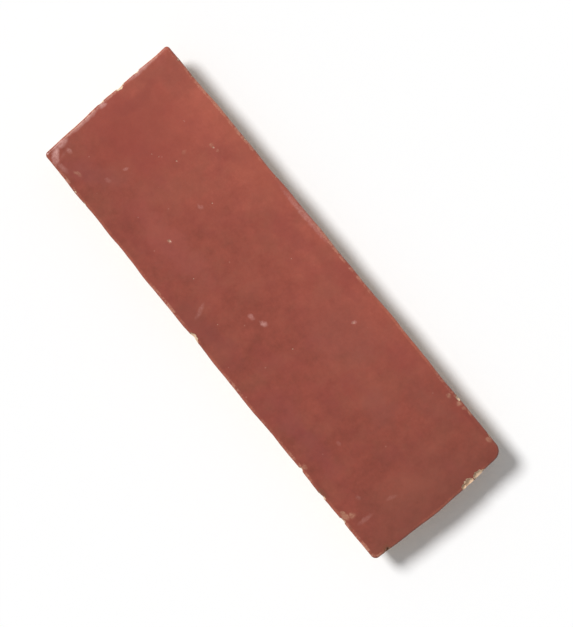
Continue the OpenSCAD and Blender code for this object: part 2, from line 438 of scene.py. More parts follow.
def wrinkles(p):
    """Height of the wrinkles at p: they run along the head and turn round the corner."""
    z = np.zeros(len(p))
    near = np.nonzero(np.hypot(*p.T) < WRINKLE_REACH)[0]
    q = p[near]
    away = np.hypot(q[:, 0] + 0.5, 0.45 * q[:, 1]) + 0.5 * field(flat(q), 3.5, 2, 6.0)
    fade = ramp(np.hypot(*q.T), WRINKLE_REACH, WRINKLE_CORE)
    z[near] = WRINKLE_H * fade * np.sin(math.tau * away / WRINKLE_L)
    return z


def face_height(p, into):
    """Height of the glazed face with its soft dents, its wrinkles and its pits."""
    dents = unevenness(flat(p), DENTS)
    z = face_z(p) + dents * ramp(into, 0, 5) + wrinkles(p) * ramp(into, 0, 1.2)
    for x, y, r in PIT_LIST:
        z -= PIT_DEPTH * r * (1 - ramp(np.hypot(p[:, 0] - x, p[:, 1] - y), 0.2 * r, 1.3 * r))
    return z


def pit_depth(p):
    """How far inside a pit's rim each point lies."""
    return np.max([r - np.hypot(p[:, 0] - x, p[:, 1] - y) for x, y, r in PIT_LIST], 0)


def scar(co, centre, radius, seed):
    """Pushes the points inside a rough ball out onto it, and returns how deep each one lay."""
    depth = np.full(len(co), WHOLLY_OUT)
    near = np.nonzero(np.linalg.norm(co - centre, axis=1) < 1.4 * radius)[0]
    if not len(near):
        return depth
    bent = co[near]
    for k, (size, reach) in enumerate(BREAK_BENDS):
        bent = warped(bent, size, reach, seed + 50 * k)
    away = bent - centre
    d = np.linalg.norm(away, axis=1)
    grain = BREAK_GRAIN_H * field(co[near], BREAK_GRAIN_L, 3, seed)
    r = radius + grain - BREAK_SHELL_H * scallops(co[near], BREAK_SHELL_L, seed)
    depth[near] = r - d
    hit = depth[near] > 0
    co[near[hit]] += away[hit] * ((r - d) / d)[hit, None]
    return depth


def rim_place(e, t):
    p = SHARP[e] + CHORD[e] * t - INWARD[e] * stand_out(e, np.array(t))
    return np.array([*p, face_z(p[None])[0]])


def ball(e, t, length, bite, drop):
    """Centre and radius of the scar that a chip of that length, bite and drop leaves."""
    half = length / 2
    out = (half * half - bite * bite) / (2 * bite)
    up = (half * half - drop * drop) / (2 * drop)
    centre = rim_place(e, t) + np.array([*(-INWARD[e] * out), up])
    return centre, math.sqrt(half * half + out * out + up * up)


def spalls():
    """A smaller break at one end of each chip, which makes its outline its own."""
    rng = random.Random(SPALLS_SEED)
    for e, t, length, bite, drop in CHIPS:
        place = t + rng.choice([-1, 1]) * rng.uniform(*SPALL_AWAY) * length / LENGTH[e]
        bite, drop = rng.uniform(*SPALL_BITE) * bite, rng.uniform(*SPALL_DROP) * drop
        yield e, place, SPALL_L * length, bite, drop


def nibbles():
    """Small knocks all round the arris, as hand-cut edges have."""
    rng = random.Random(NIBBLES_SEED)
    for _ in range(NIBBLES_N):
        e = rng.choices(range(4), list(LENGTH))[0]
        place, length = rng.uniform(0.03, 0.97), rng.uniform(*NIBBLE_L)
        yield e, place, length, length * rng.uniform(*NIBBLE_BITE), length * rng.uniform(*NIBBLE_DROP)


# ---------------------------------------------------------------- the tile's mesh
def border_rows():
    """Rings of the face next to the arris, from inside out: their points and depth in."""
    insets = ARRIS_R + BORDER * (1 - np.arange(BORDER_N + 1) / BORDER_N)
    rows = []
    for inset in insets:
        plan = ring(inset)
        into = np.full(RING_N, inset - ARRIS_R)
        rows.append((np.column_stack([plan, face_height(plan, into)]), into))
    return rows


# A row round the flank: its inset, its height, its shares of a stroke's depth and rise, and the
# number of rows down to the next. The one under the arris has no height of its own.
Key = namedtuple("Key", "inset z depth rise rows")


def flank_keys():
    land_z = BOX[2] - LAND_H
    keys = [Key(0.0, None, 0, 0, LAND_ROWS)]
    for inset, down, depth, rise, rows in FLANK:
        keys.append(Key(inset * UNDERCUT, land_z + (HEEL_H - land_z) * down, depth, rise, rows))
    return keys + [Key(UNDERCUT + HEEL_W, 0.0, HEEL_STROKE, 0, 0)]


def side_rows(rim_z):
    """Rows round the arris, land and flank, from the face down: plan, outward and height."""
    rows = []
    for k in range(1, ARRIS_N + 1):
        a = math.pi / 2 * k / ARRIS_N
        plan = ring(ARRIS_R * (1 - math.sin(a)))
        rows.append((plan, outward(plan), rim_z - ARRIS_R * (1 - math.cos(a))))
    keys = flank_keys()
    for upper, lower in zip(keys, keys[1:]):
        for k in range(1, upper.rows + 1):
            t = k / upper.rows
            plan = ring(upper.inset + (lower.inset - upper.inset) * t)
            n = outward(plan)
            s = CALM * stroke(plan, n)
            top = rim_z - ARRIS_R if upper.z is None else upper.z + STROKE_RISE * upper.rise * s
            z = top + (lower.z + STROKE_RISE * lower.rise * s - top) * t
            share = upper.depth + (lower.depth - upper.depth) * t
            rows.append((plan - n * (STROKE_DEPTH * share * s)[:, None], n, z))
    return rows


def weathered(plan, n, z, depth, reach):
    """One row of the side with its glaze and its broken clay, with two masks: how much glaze is
    left below each point, and how hollow the clay is there, from 0 to 1."""
    at = np.column_stack([plan, z])
    below = reach - depth
    room = GLAZE_ROOM * ramp(depth, ARRIS_R, ARRIS_R + 0.7)
    bead = GLAZE_BEAD * np.exp(-(((below - 0.4) / 0.35) ** 2))
    skin = GLAZE_T * ramp(below, -0.05, 0.35) + bead
    bare = ramp(-below, -0.3, 0.5) * ramp(depth, ARRIS_R, ARRIS_R + 0.8)
    low = ramp(depth, BROKEN_FROM, BROKEN_BY)
    bent = warped(at, 4.0, 1.6, 7.7)
    rough = 0.12 * field(at, 2.0, 4, 5.0, 0.4)
    hollow = 0.0
    for size, seed, deep, share in SHELLS:
        shells = scallops(bent, size, seed)
        rough = rough - deep * shells
        hollow = hollow + share * shells
    broken = (0.15 + 0.85 * low) * rough + 0.45 * low
    waver = 0.07 * (field(at, 6, 3, 12.0) - 0.6) * ramp(depth, 0, ARRIS_R)
    push = waver - room + np.minimum(skin, room) + bare * broken
    return at + flat(n) * push[:, None], below, hollow


def back_height(p):
    return np.maximum(unevenness(flat(p), BACK_HOLLOWS, BACK_HOLLOW), 0)


def evened(points):
    """A ring of points with its small kinks smoothed out, so that it nowhere crosses itself."""
    for _ in range(EVEN_N):
        points = 0.5 * points + 0.25 * (np.roll(points, 1, 0) + np.roll(points, -1, 0))
    return points


def scattered(bands, start, rng):
    """Points of the plane from depth `start` in, in bands of different spacing."""
    found = []
    limits = [start + depth for depth, _ in bands] + [math.inf]
    for (_, step), low, high in zip(bands, limits, limits[1:]):
        x, y = np.meshgrid(np.arange(0, FACE_L, step), np.arange(0, FACE_W, step))
        p = np.column_stack([x.ravel(), y.ravel()])
        p += step * JITTER * rng.uniform(-1, 1, p.shape)
        depth = depth_in(p)
        found.append(p[(depth > low) & (depth <= high)])
    return np.concatenate(found)


def refined(p, rng):
    """The face's points with closer ones where the wrinkles are."""
    places = np.arange(0, WRINKLE_REACH, WRINKLE_SPACING)
    fine = np.stack(np.meshgrid(places, places), -1).reshape(-1, 2)
    fine += WRINKLE_SPACING * WRINKLE_JITTER * rng.uniform(-1, 1, fine.shape)
    inside = depth_in(fine) > ARRIS_R + BORDER + WRINKLE_SPACING / 2
    fine = fine[inside & (np.hypot(*fine.T) < WRINKLE_REACH)]
    return np.concatenate([p[np.hypot(*p.T) > WRINKLE_REACH], fine])


def round_pits(p):
    """The points with those near a pit replaced by rings of their own."""
    for x, y, r in PIT_LIST:
        p = p[np.hypot(p[:, 0] - x, p[:, 1] - y) > PIT_CLEAR * r + PIT_GAP]
    rings = [[(x, y)] for x, y, _ in PIT_LIST]
    for x, y, r in PIT_LIST:
        for share, count in PIT_RINGS:
            a = np.arange(count) / count * math.tau + share
            rings.append(np.column_stack([x + share * r * np.cos(a), y + share * r * np.sin(a)]))
    return np.concatenate([p, *rings])


def filled(outline, inside):
    """Triangles of an outline and the points inside it, counter-clockwise."""
    given = [Vector(p) for p in (*outline, *inside)]
    n = len(outline)
    edges = [(k, (k + 1) % n) for k in range(n)]
    _, _, faces, sources, *_ = delaunay_2d_cdt(given, edges, [], 1, 1e-6)
    order = np.array([source[0] for source in sources])
    return order[np.array(faces)]


def ring_quads(first, rows):
    """Faces between rows of a ring's points, the first of which is point `first`."""
    index = first + np.arange(rows * RING_N).reshape(rows, RING_N)
    after = np.roll(index, -1, 1)
    return np.stack([index[:-1], index[1:], after[1:], after[:-1]], -1).reshape(-1, 4)


def all_rows():
    """Every ring of points from the face's border down to the back, and three masks of each:
    how far inside the arris it lies, how much glaze is left below it and how hollow it is."""
    rows, into, glaze, hollow = [], [], [], []
    for at, depth in border_rows():
        rows.append(at)
        into.append(depth)
        glaze.append(np.full(RING_N, WHOLLY_IN))
        hollow.append(np.full(RING_N, LEVEL))
    rim_z = rows[-1][:, 2]
    reach = glaze_reach()
    for plan, n, z in side_rows(rim_z):
        at, left, deep = weathered(plan, n, z, rim_z - z, reach)
        rows.append(at)
        into.append(z - rim_z)
        glaze.append(left)
        hollow.append(deep)
    rows[-1] = evened(rows[-1])
    rows[-1][:, 2] = 0
    return rows, into, glaze, hollow


def build_tile():
    """The tile as one closed mesh: its points, its faces in three lots and its masks in mm."""
    rng = np.random.default_rng(POINTS_SEED)
    rows, into, glaze, hollow = all_rows()
    face = round_pits(refined(scattered(FACE_BANDS, ARRIS_R + BORDER, rng), rng))
    face_into = depth_in(face) - ARRIS_R
    back = scattered(BACK_BANDS, UNDERCUT + HEEL_W + STROKE_DEPTH, rng)
    n_ring = RING_N * len(rows)
    co = np.concatenate([
        *rows,
        np.column_stack([face, face_height(face, face_into)]),
        np.column_stack([back, back_height(back)]),
    ])
    glaze += [np.full(len(face), WHOLLY_IN), np.full(len(back), WHOLLY_OUT)]
    masks = {
        "into": np.concatenate([*into, face_into, np.full(len(back), -BOX[2])]),
        "glaze": np.concatenate(glaze),
        "hollow": np.concatenate([*hollow, np.full(len(face), LEVEL), 3 * back_height(back)]),
        "pit": np.full(len(co), WHOLLY_OUT),
        "chip": np.full(len(co), WHOLLY_OUT),
    }
    masks["pit"][n_ring:n_ring + len(face)] = pit_depth(face)
    for k, (e, t, *size) in enumerate([*CHIPS, *spalls(), *nibbles()]):
        depth = scar(co, *ball(e, t, *size), 11.0 + k)
        masks["chip"] = np.maximum(masks["chip"], depth)

    inner = np.concatenate([np.arange(RING_N), n_ring + np.arange(len(face))])
    top = inner[filled(rows[0][:, :2], face)]
    last = n_ring - RING_N
    lower = np.concatenate([last + np.arange(RING_N), n_ring + len(face) + np.arange(len(back))])
    bottom = lower[filled(rows[-1][:, :2], back)][:, ::-1]
    return co, ring_quads(0, len(rows)), top, bottom, masks


def fitted(co):
    """The points moved to the CAD model's box, which no point leaves."""
    low, high = RIM.min(0), RIM.max(0)
    scale = (BOX_HIGH - BOX_LOW)[:2] / (high - low)
    co = co.copy()
    co[:, :2] = (co[:, :2] - low) * scale + BOX_LOW[:2]
    co[:, 2] += BOX_LOW[2]
    return np.clip(co, BOX_LOW, BOX_HIGH)


# ---------------------------------------------------------------- node helpers
def linear(r, g, b):
    """An sRGB colour of 0 to 255 as linear light, with alpha."""
    def one(c):
        c /= 255
        return c / 12.92 if c <= 0.04045 else ((c + 0.055) / 1.055) ** 2.4
    return (one(r), one(g), one(b), 1.0)


class Shader:
    """A material's node tree. A socket passed as a value is linked, and anything else is set."""

    def __init__(self, name):
        self.material = bpy.data.materials.new(name)
        self.material.use_nodes = True
        self.tree = self.material.node_tree
        self.tree.nodes.clear()
        coords = self.add("ShaderNodeTexCoord").outputs["Object"]
        self.mm = self.vector("MULTIPLY", coords, (1 / MM,) * 3)

    def add(self, kind, values=None, **settings):
        node = self.tree.nodes.new(kind)
        for key, value in settings.items():
            setattr(node, key, value)
        for key, value in (values or {}).items():
            socket = node.inputs[key]
            if isinstance(value, bpy.types.NodeSocket):
                self.tree.links.new(value, socket)
            else:
                socket.default_value = value
        return node

    def mask(self, name):
        return self.add("ShaderNodeAttribute", attribute_name=name).outputs["Fac"]

    def math(self, operation, a, b=0.0, c=0.0, clamp=False):
        node = self.add("ShaderNodeMath", {0: a, 1: b, 2: c}, operation=operation, use_clamp=clamp)
        return node.outputs[0]

    def vector(self, operation, *values):
        return self.add("ShaderNodeVectorMath", dict(enumerate(values)), operation=operation).outputs[0]

    def noise(self, size, detail=3.0, rough=0.5, where=None, distortion=0.0):
        values = {
            "Vector": where or self.mm, "Scale": 1 / size, "Detail": detail,
            "Roughness": rough, "Distortion": distortion,
        }
        return self.add("ShaderNodeTexNoise", values).outputs["Fac"]

    def stretched(self, x, y, z, turn=0.0):
        values = {"Vector": self.mm, "Scale": (x, y, z), "Rotation": (0, 0, math.radians(turn))}
        return self.add("ShaderNodeMapping", values, vector_type="TEXTURE").outputs[0]

    def shaken(self, size, amount):
        """The place in mm, moved by noise, for outlines that aren't to be neat."""
        values = {"Vector": self.mm, "Scale": 1 / size, "Detail": 3.0, "Roughness": 0.6}
        colour = self.add("ShaderNodeTexNoise", values).outputs["Color"]
        centred = self.vector("SUBTRACT", self.mm, (amount / 2,) * 3)
        return self.vector("MULTIPLY_ADD", colour, (amount,) * 3, centred)

    def spot(self, where, x, y, long, wide, turn):
        """1 inside an ellipse on the face and 0 at its rim; x and y from the near head corner."""
        place = (BOX_LOW[0] + HEAD_LEAN + x, BOX_LOW[1] + FOOT_FLARE / 2 + y, BOX[2])
        values = {
            "Vector": where, "Location": place, "Rotation": (0, 0, math.radians(turn)),
            "Scale": (long / 2, wide / 2, BOX[2]),
        }
        local = self.add("ShaderNodeMapping", values, vector_type="TEXTURE").outputs[0]
        away = self.add("ShaderNodeVectorMath", {0: local}, operation="LENGTH").outputs["Value"]
        return self.ramp(away, 1.0, 0.3)

    def most(self, values):
        """The largest of several values."""
        values = list(values)
        while len(values) > 1:
            values.append(self.math("MAXIMUM", values.pop(0), values.pop(0)))
        return values[0]

    def ramp(self, value, low, high, to_low=0.0, to_high=1.0, shape="SMOOTHSTEP"):
        values = {"Value": value, "From Min": low, "From Max": high, "To Min": to_low, "To Max": to_high}
        return self.add("ShaderNodeMapRange", values, interpolation_type=shape).outputs[0]

    def product(self, a, b):
        return self.math("MULTIPLY", a, b)

    def blend(self, factor, a, b):
        node = self.add("ShaderNodeMix", data_type="RGBA")
        for key, value in ((0, factor), (6, a), (7, b)):
            if isinstance(value, bpy.types.NodeSocket):
                self.tree.links.new(value, node.inputs[key])
            else:
                node.inputs[key].default_value = value
        return node.outputs[2]

    def bump(self, height, distance, normal=None):
        values = {"Height": height, "Distance": distance * MM}
        if normal:
            values["Normal"] = normal
        return self.add("ShaderNodeBump", values).outputs[0]

    def finish(self, **sockets):
        values = {name.replace("_", " "): value for name, value in sockets.items()}
        surface = self.add("ShaderNodeBsdfPrincipled", values)
        self.add("ShaderNodeOutputMaterial", {"Surface": surface.outputs[0]})
        return self.material


# ---------------------------------------------------------------- colours
# The fired clay's, from its body to its grog, pores, stain and fresh breaks. The hollow colour is painted
# shade in the hollows of the broken clay and of the back, the pore colour painted shade in the pores, and
# the pale one also painted light on the ridges.
CLAY_BUFF, CLAY_CREAM = linear(206, 170, 140), linear(224, 198, 168)
CLAY_PINK = linear(209, 156, 128)
CLAY_HOLLOW_SHADE, CLAY_PALE = linear(186, 144, 114), linear(240, 222, 194)
CLAY_GROG, CLAY_PORE_SHADE = linear(172, 110, 84), linear(134, 96, 74)
CLAY_STAIN = linear(178, 106, 78)
CLAY_FRESH = linear(227, 198, 167)

# The glaze from its darkest tone to its palest, with each tone's place from 0 to 1.
GLAZE_TONES = [
    (0.0, linear(119, 53, 38)), (0.35, linear(145, 68, 53)),
    (0.6, linear(158, 77, 61)), (1.0, linear(183, 94, 76)),
]
# Its duller and redder parts, its arris, its marks and the dirt on it. Where they are used, the deep,
# edge and dirt colours also paint shade, and the worn one glints.
GLAZE_DULL, GLAZE_RED = linear(144, 81, 62), linear(139, 59, 53)
GLAZE_WARM, GLAZE_THIN = linear(184, 104, 80), linear(205, 150, 125)
GLAZE_DEEP_AND_SHADE, GLAZE_EDGE_AND_SHADE = linear(112, 44, 34), linear(112, 52, 40)
GLAZE_WORN_AND_GLINT, GLAZE_RUBBED = linear(203, 149, 141), linear(196, 150, 122)
GLAZE_SPECK, GLAZE_PIT = linear(202, 146, 128), linear(184, 146, 124)
GLAZE_DIRT_AND_SHADE = linear(118, 66, 47)
WHITE = (1, 1, 1, 1)


# ---------------------------------------------------------------- materials
def clay_look(s):
    """Colour and height of the fired clay: cream-buff and sandy, with grog and small pores, with painted
    shade in its hollows and pores and painted light on its ridges.
    """
    colour = s.blend(s.ramp(s.noise(11, 3, 0.55), 0.3, 0.7), CLAY_BUFF, CLAY_CREAM)
    colour = s.blend(s.ramp(s.noise(4.2, 4, 0.6), 0.42, 0.72, 0, 0.45), colour, CLAY_PINK)
    # Painted shade in the hollows of the broken clay and of the back, and painted light on its ridges.
    colour = s.blend(s.ramp(s.mask("hollow"), 0.45, 1.0, 0, 0.4), colour, CLAY_HOLLOW_SHADE)
    colour = s.blend(s.ramp(s.mask("hollow"), 0.35, 0.0, 0, 0.5), colour, CLAY_PALE)
    grain = s.noise(0.42, 5, 0.75)
    colour = s.blend(s.ramp(grain, 0.4, 0.7, 0, 0.45), colour, CLAY_PALE)
    cells = s.add("ShaderNodeTexVoronoi", {"Vector": s.shaken(0.5, 0.35), "Scale": 0.6})
    some = s.add("ShaderNodeSeparateColor", {0: cells.outputs["Color"]})
    size = s.ramp(some.outputs[0], 0.6, 1.0, 0, 0.3, shape="LINEAR")
    grog = s.ramp(s.math("SUBTRACT", size, cells.outputs["Distance"]), 0.0, 0.06)
    colour = s.blend(s.product(grog, 0.55), colour, CLAY_GROG)
    # Painted shade in the small pores, which are also dents in the bump.
    pore = s.ramp(s.noise(0.7, 3, 0.6), 0.68, 0.74)
    colour = s.blend(s.product(pore, 0.6), colour, CLAY_PORE_SHADE)
    height = s.math("MULTIPLY_ADD", s.noise(1.5, 4, 0.65), 0.8, s.product(grain, 0.5))
    height = s.math("MULTIPLY_ADD", pore, -0.5, height)
    return colour, height


def stained(s, clay):
    """The clay with the reddish stain that it has just below the glaze's end."""
    stain = s.product(s.ramp(s.mask("glaze"), -1.1, -0.05), 0.5)
    return s.blend(stain, clay, CLAY_STAIN)


# The tables below give x and y from the near head corner, length, width, turn and strength.
# Broad clouds in the glaze, with their colours; the greyish-mauve one at the near head corner is a
# painted sheen:
CLOUDS_AND_SHEEN = [
    (10, 26, 46, 40, 0, 0.5, (150, 65, 53)), (20, 39, 28, 17, 8, 0.3, (174, 86, 68)),
    (40, 44, 46, 13, 0, 0.28, (176, 92, 71)), (6, 43, 20, 13, 20, 0.32, (140, 70, 57)),
    (44, 12, 48, 15, 0, 0.3, (168, 87, 76)), (73, 4, 34, 12, 0, 0.38, (127, 58, 51)),
    (111, 6, 40, 14, 0, 0.35, (137, 61, 60)), (152, 24, 48, 80, 0, 0.42, (130, 70, 55)),
    # The second of these, at the near head corner, is a painted sheen.
    (120, 28, 16, 14, 0, 0.3, (136, 76, 64)), (14, 8, 24, 12, 20, 0.25, (141, 75, 70)),
    (4, 31, 7, 26, 0, 0.35, (138, 62, 52)), (96, 34, 36, 28, 0, 0.2, (151, 88, 76)),
    (126, 42, 26, 14, 0, 0.25, (134, 72, 60)),
]


def glaze_colour(s):
    """The brick-red glaze, cloudy and brushed, paler by the far edge and darker at the foot, with a
    painted sheen at the near head corner.
    """
    split = s.add("ShaderNodeSeparateXYZ", {0: s.mm})
    foot = s.ramp(split.outputs[0], BOX_LOW[0], BOX_HIGH[0], shape="LINEAR")
    head = s.math("SUBTRACT", 1.0, s.math("POWER", foot, 1.6))
    far = s.ramp(split.outputs[1], BOX_LOW[1], BOX_HIGH[1], shape="LINEAR")
    cloudy = s.noise(20, 3, 0.5, distortion=0.5)
    brushed = s.noise(1, 3, 0.6, where=s.stretched(15, 4.5, 10, 68))
    patchy = s.noise(8, 3, 0.55, distortion=0.4)
    mottled = s.noise(2.6, 5, 0.75)
    tone = s.product(head, s.math("MULTIPLY_ADD", far, 0.53, 0.085))
    tone = s.math("ADD", tone, 0.16)
    tone = s.math("MULTIPLY_ADD", s.spot(s.mm, 106, 46, 44, 14, 0), 0.1, tone)
    for varied, share in ((cloudy, 0.38), (brushed, 0.22), (patchy, 0.44), (mottled, 0.66)):
        tone = s.math("MULTIPLY_ADD", s.math("SUBTRACT", varied, 0.5), share, tone)
    tones = s.add("ShaderNodeValToRGB", {"Fac": tone})
    elements = tones.color_ramp.elements
    while len(elements) < len(GLAZE_TONES):
        elements.new(0.5)
    for element, (place, colour) in zip(elements, GLAZE_TONES):
        element.position, element.color = place, colour
    duller = s.ramp(s.noise(8, 4, 0.62, where=s.stretched(1, 1.6, 1)), 0.4, 0.65, 0, 0.3)
    colour = s.blend(duller, tones.outputs[0], GLAZE_DULL)
    redder = s.ramp(s.noise(12, 4, 0.6, where=s.stretched(1.5, 1, 1, 20)), 0.46, 0.68, 0, 0.36)
    colour = s.blend(redder, colour, GLAZE_RED)
    where = s.shaken(12, 16)
    for *ellipse, strength, tint in CLOUDS_AND_SHEEN:
        colour = s.blend(s.product(s.spot(where, *ellipse), strength), colour, linear(*tint))
    return colour


# Pale marks worn into the glaze; those round the near head corner and along the head edge are painted
# glints.
WORN_AND_GLINTS = [
    (74.8, 16.8, 3.0, 2.3, 20, 0.42), (78.7, 18.3, 3.3, 2.2, 25, 0.65), (95.1, 38.9, 2.2, 1.6, 60, 0.45),
    (18.4, 15.9, 2.4, 1.6, 80, 0.4), (17.7, 9.8, 2.2, 1.8, 30, 0.2), (40.7, 25.6, 2.6, 1.7, 10, 0.25),
    (-1.0, 37.5, 13.0, 1.6, 92, 0.5), (64.0, 6.4, 6.8, 1.9, 112, 0.24), (141.5, 5.2, 7.4, 1.8, 88, 0.18),
    (141.4, 15.0, 4.6, 2.0, 75, 0.15), (135.4, 7.6, 2.6, 1.6, 10, 0.14), (119.4, 13.2, 2.6, 1.8, 0, 0.16),
    (62.0, 47.6, 28.0, 2.4, 0.5, 0.42), (2.5, 2.5, 7.4, 2.8, -41, 0.85), (0.9, 6.2, 6.0, 2.9, 95, 0.6),
    (3.9, 6.4, 2.8, 1.8, 10, 0.4), (6.4, 1.8, 6.0, 2.2, 5, 0.3), (0.2, 15.0, 15.0, 1.6, 93, 0.45),
    (-0.2, 22.3, 3.4, 2.0, 80, 0.7),
]
# Places where the glaze is rubbed down towards the tan clay.
RUBBED = [
    (136.8, 1.1, 4.6, 2.4, 15, 0.6), (138.2, 2.8, 3.0, 2.6, 60, 0.45), (129.0, 46.8, 2.4, 1.8, 0, 0.4),
    (132.7, 47.6, 2.6, 2.0, 50, 0.55), (134.7, 47.9, 1.8, 1.5, 0, 0.4), (136.6, 48.5, 3.2, 1.8, -10, 0.6),
    (146.3, 47.7, 2.8, 2.0, 20, 0.5), (10.5, 4.1, 3.8, 1.5, 18, 0.3), (42.7, 12.3, 1.6, 1.3, 0, 0.5),
    (118.5, 1.1, 2.6, 1.6, 0, 0.35), (28.8, 39.6, 1.8, 1.4, 5, 0.32), (31.2, 39.9, 1.7, 1.2, 5, 0.24),
    (25.3, 32.2, 1.4, 2.0, 0, 0.18),
]
# Places deeper in colour: where the glaze has gathered, and along the far edge by the foot's far corner a
# painted shade of the rim there.
DEEP_AND_SHADE = [
    (140.0, 48.2, 17.0, 4.4, 1, 0.6), (151.0, 46.0, 6.0, 8.0, 30, 0.45), (126.8, 0.6, 9.0, 2.8, 0, 0.55),
    (4.0, 0.6, 9.0, 2.6, 0, 0.35), (153.0, 12.0, 3.0, 14.0, 0, 0.3),
]
# Dark marks: dirt along the near edge, and painted shade in the notch by the foot's near corner.
DIRT_AND_SHADE_MARKS = [
    (127.7, 0.3, 4.6, 2.2, 0, 0.9), (140.7, 0.2, 2.6, 1.6, 0, 0.6), (152.0, 4.6, 3.6, 3.4, 0, 1.0),
    (138.1, -0.2, 3.6, 1.6, 0, 0.5),
]


def marks(s, table):
    where = s.shaken(1.6, 1.5)
    return s.most(s.product(s.spot(where, *ellipse), strength) for *ellipse, strength in table)


def with_arris(s, colour, jag):
    """The glaze's colour with its warm rim, and where it is so thin that pale clay shows."""
    into = s.math("MULTIPLY_ADD", jag, 1.2, s.mask("into"))
    band = s.product(s.ramp(into, 0.35, -0.25), s.ramp(into, -1.0, -0.5))
    stretch = s.product(s.spot(s.mm, 107, 48.6, 46, 6, 0), 0.75)
    warm = s.product(band, s.math("MAXIMUM", stretch, s.ramp(s.noise(9, 3, 0.6), 0.35, 0.7, 0.1, 0.5)))
    stretches = s.product(s.ramp(s.noise(14, 2), 0.46, 0.64), s.ramp(s.noise(1.7, 4, 0.7), 0.42, 0.56))
    colour = s.blend(warm, colour, GLAZE_WARM)
    # Deeper glaze, which by the foot's far corner is painted shade.
    deep = marks(s, DEEP_AND_SHADE)
    colour = s.blend(s.product(deep, 0.6), colour, GLAZE_DEEP_AND_SHADE)
    shallow = s.math("MULTIPLY_ADD", deep, -0.55, 0.55)
    thin = s.product(s.product(band, stretches), shallow)
    return s.blend(thin, colour, GLAZE_THIN), thin


def with_marks(s, colour, jag):
    """The glaze's colour with its worn and rubbed marks, painted glints, specks and pits, and where they
    are.
    """
    broken = s.ramp(s.noise(0.8, 5, 0.75), 0.4, 0.62, 0.45, 1.0)
    # Worn marks, with painted glints round the near head corner and along the head edge.
    worn_and_glint = s.product(marks(s, WORN_AND_GLINTS), broken)
    colour = s.blend(worn_and_glint, colour, GLAZE_WORN_AND_GLINT)
    rubbed = s.product(marks(s, RUBBED), broken)
    colour = s.blend(rubbed, colour, GLAZE_RUBBED)
    cells = s.add("ShaderNodeTexVoronoi", {"Vector": s.shaken(0.5, 0.4), "Scale": 0.3})
    some = s.add("ShaderNodeSeparateColor", {0: cells.outputs["Color"]})
    speck = s.product(s.ramp(cells.outputs["Distance"], 0.09, 0.03), s.ramp(some.outputs[0], 0.8, 0.84))
    colour = s.blend(s.product(speck, 0.28), colour, GLAZE_SPECK)
    pit = s.ramp(s.math("MULTIPLY_ADD", jag, 0.3, s.mask("pit")), -0.05, 0.1)
    return s.blend(s.product(pit, 0.75), colour, GLAZE_PIT), s.most([pit, worn_and_glint, rubbed])


def with_clay(s, colour, jag, clay):
    """The colour with clay where the glaze is chipped off or ends, and where that is."""
    chip = s.ramp(s.math("MULTIPLY_ADD", jag, 0.35, s.mask("chip")), 0.0, 0.07)
    ends = s.ramp(s.math("MULTIPLY_ADD", jag, 0.45, s.mask("glaze")), 0.03, -0.03)
    bare = s.math("MAXIMUM", chip, ends)
    lip = s.product(s.ramp(s.mask("glaze"), 0.55, 0.1), 0.45)
    # A darker line round each chip: the glaze's broken edge, with painted shade at the scar's rim.
    edge = s.product(s.ramp(s.mask("chip"), -0.2, -0.04), 0.4)
    colour = s.blend(s.math("MAXIMUM", lip, edge), colour, GLAZE_EDGE_AND_SHADE)
    fresh = s.product(s.ramp(s.mask("chip"), 0.0, 0.2), 0.8)
    clay = s.blend(fresh, stained(s, clay), CLAY_FRESH)
    return s.blend(bare, colour, clay), bare


def glaze_material():
    s = Shader("brick_red_glaze")
    clay, clay_height = clay_look(s)
    jag = s.math("SUBTRACT", s.noise(0.55, 4, 0.65), 0.5)
    colour, thin = with_arris(s, glaze_colour(s), jag)
    colour, marked = with_marks(s, colour, jag)
    colour, bare = with_clay(s, colour, jag, clay)
    # Dirt, and painted shade in the notch by the foot's near corner.
    dirt_and_shade = s.product(marks(s, DIRT_AND_SHADE_MARKS), s.ramp(s.noise(0.7, 3), 0.2, 0.5))
    colour = s.blend(s.product(dirt_and_shade, 0.94), colour, GLAZE_DIRT_AND_SHADE)

    satin = s.ramp(s.noise(6, 4, 0.6), 0.3, 0.75, 0.17, 0.26)
    satin = s.math("MULTIPLY_ADD", s.most([marked, thin, dirt_and_shade]), 0.3, satin)
    rough = s.math("MULTIPLY_ADD", bare, 0.58, satin, clamp=True)
    peel = s.math("MULTIPLY_ADD", s.noise(0.45, 2), 0.25, s.noise(1.6, 3, 0.5))
    normal = s.bump(s.product(peel, s.math("SUBTRACT", 1.0, bare)), 0.035)
    normal = s.bump(s.product(clay_height, bare), 0.22, normal)
    return s.finish(Base_Color=colour, Roughness=rough, Normal=normal, IOR=1.5, Specular_IOR_Level=0.3)


def clay_material():
    s = Shader("raw_terracotta")
    clay, height = clay_look(s)
    rough = s.ramp(s.noise(2, 3), 0.3, 0.7, 0.82, 0.95)
    return s.finish(Base_Color=stained(s, clay), Roughness=rough, Normal=s.bump(height, 0.25), IOR=1.45)


GLAZE_SLOT, CLAY_SLOT = 0, 1
# Flank faces that lie wholly this far below the glaze's end, in mm, have the clay's material.
CLAY_FROM = 0.6
SHARP_ANGLE = math.radians(38)


